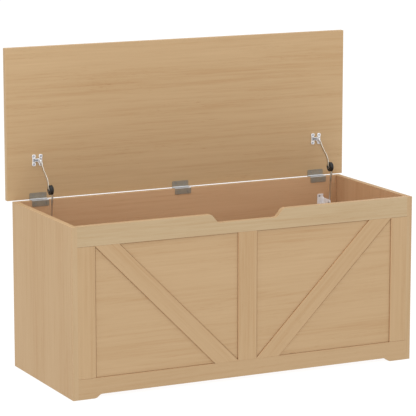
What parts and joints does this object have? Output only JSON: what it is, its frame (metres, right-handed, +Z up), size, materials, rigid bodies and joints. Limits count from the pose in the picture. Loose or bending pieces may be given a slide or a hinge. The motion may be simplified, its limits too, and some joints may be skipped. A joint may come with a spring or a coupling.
{
  "type": "wooden toy box",
  "caption": "Low oak-look storage chest with a cross-braced front, hand notch, feet, and a back-hinged lid held up by folding friction stays.",
  "frame": {"origin": "on the floor, in the middle of the footprint with the lid standing open", "axes": "+X to the right along the length, +Y towards the hinged back, +Z up"},
  "size_m": [1, 0.413, 0.8422],
  "materials": {
    "oak_board": "matt light oak laminate on board",
    "oak_lid": "matt light oak laminate, grain along the length",
    "oak_inner": "matt light oak laminate, inside of the chest",
    "hinge_steel": "satin plated steel",
    "stay_steel": "bright zinc-plated steel",
    "screw_steel": "zinc-plated steel",
    "black_plastic": "matt black moulded plastic"
  },
  "bodies": {
    "box": {"back_panel": "oak_inner", "bottom_panel": "oak_inner", "front_bottom_rail": "oak_board", "front_brace_left": "oak_board", "front_brace_right": "oak_board", "front_center_stile": "oak_board", "front_infill_panel": "oak_board", "front_stile_left": "oak_board", "front_stile_right": "oak_board", "front_top_rail": "oak_board", "hinge_body_leaf_center": "hinge_steel", "hinge_body_leaf_left": "hinge_steel", "hinge_body_leaf_right": "hinge_steel", "hinge_pin_center": "hinge_steel", "hinge_pin_left": "hinge_steel", "hinge_pin_right": "hinge_steel", "hinge_screw_center_body_a": "screw_steel", "hinge_screw_center_body_b": "screw_steel", "hinge_screw_left_body_a": "screw_steel", "hinge_screw_left_body_b": "screw_steel", "hinge_screw_right_body_a": "screw_steel", "hinge_screw_right_body_b": "screw_steel", "side_panel_left": "oak_board", "side_panel_right": "oak_board", "stay_body_bracket_left": "stay_steel", "stay_body_bracket_right": "stay_steel", "stay_lower_rivet_left": "stay_steel", "stay_lower_rivet_right": "stay_steel", "stay_screw_left_body_a": "screw_steel", "stay_screw_left_body_b": "screw_steel", "stay_screw_right_body_a": "screw_steel", "stay_screw_right_body_b": "screw_steel"},
    "lid": {"hinge_lid_leaf_center": "hinge_steel", "hinge_lid_leaf_left": "hinge_steel", "hinge_lid_leaf_right": "hinge_steel", "hinge_screw_center_lid_a": "screw_steel", "hinge_screw_center_lid_b": "screw_steel", "hinge_screw_left_lid_a": "screw_steel", "hinge_screw_left_lid_b": "screw_steel", "hinge_screw_right_lid_a": "screw_steel", "hinge_screw_right_lid_b": "screw_steel", "lid_panel": "oak_lid", "stay_lid_bracket_left": "stay_steel", "stay_lid_bracket_right": "stay_steel", "stay_screw_left_lid_a": "screw_steel", "stay_screw_left_lid_b": "screw_steel", "stay_screw_left_lid_c": "screw_steel", "stay_screw_left_lid_d": "screw_steel", "stay_screw_right_lid_a": "screw_steel", "stay_screw_right_lid_b": "screw_steel", "stay_screw_right_lid_c": "screw_steel", "stay_screw_right_lid_d": "screw_steel", "stay_upper_rivet_left": "stay_steel", "stay_upper_rivet_right": "stay_steel"},
    "upper_arm_left": {"stay_upper_arm_left": "stay_steel"},
    "lower_arm_left": {"stay_elbow_drum_left": "black_plastic", "stay_lower_arm_left": "stay_steel"},
    "upper_arm_right": {"stay_upper_arm_right": "stay_steel"},
    "lower_arm_right": {"stay_elbow_drum_right": "black_plastic", "stay_lower_arm_right": "stay_steel"}
  },
  "joints": [
    {"name": "lid_hinge", "type": "hinge", "parent": "box", "child": "lid", "pos_m": [0, 0.1895, 0.442], "axis": [1, 0, 0], "range_deg": [0, 90]},
    {"name": "stay_lower_left", "type": "hinge", "parent": "box", "child": "lower_arm_left", "pos_m": [-0.3988, 0.1375, 0.3735], "axis": [1, 0, 0], "range_deg": [0, 90]},
    {"name": "stay_upper_left", "type": "hinge", "parent": "lid", "child": "upper_arm_left", "pos_m": [-0.4102, 0.1785, 0.5435], "axis": [1, 0, 0], "range_deg": [-90, 0]},
    {"name": "stay_lower_right", "type": "hinge", "parent": "box", "child": "lower_arm_right", "pos_m": [0.4312, 0.1375, 0.3735], "axis": [1, 0, 0], "range_deg": [0, 90]},
    {"name": "stay_upper_right", "type": "hinge", "parent": "lid", "child": "upper_arm_right", "pos_m": [0.4198, 0.1785, 0.5435], "axis": [1, 0, 0], "range_deg": [-90, 0]}
  ],
  "couplings": [
    {"joint": "stay_lower_left", "follows": "lid_hinge", "ratio": 1},
    {"joint": "stay_upper_left", "follows": "lid_hinge", "ratio": -1},
    {"joint": "stay_lower_right", "follows": "lid_hinge", "ratio": 1},
    {"joint": "stay_upper_right", "follows": "lid_hinge", "ratio": -1}
  ]
}
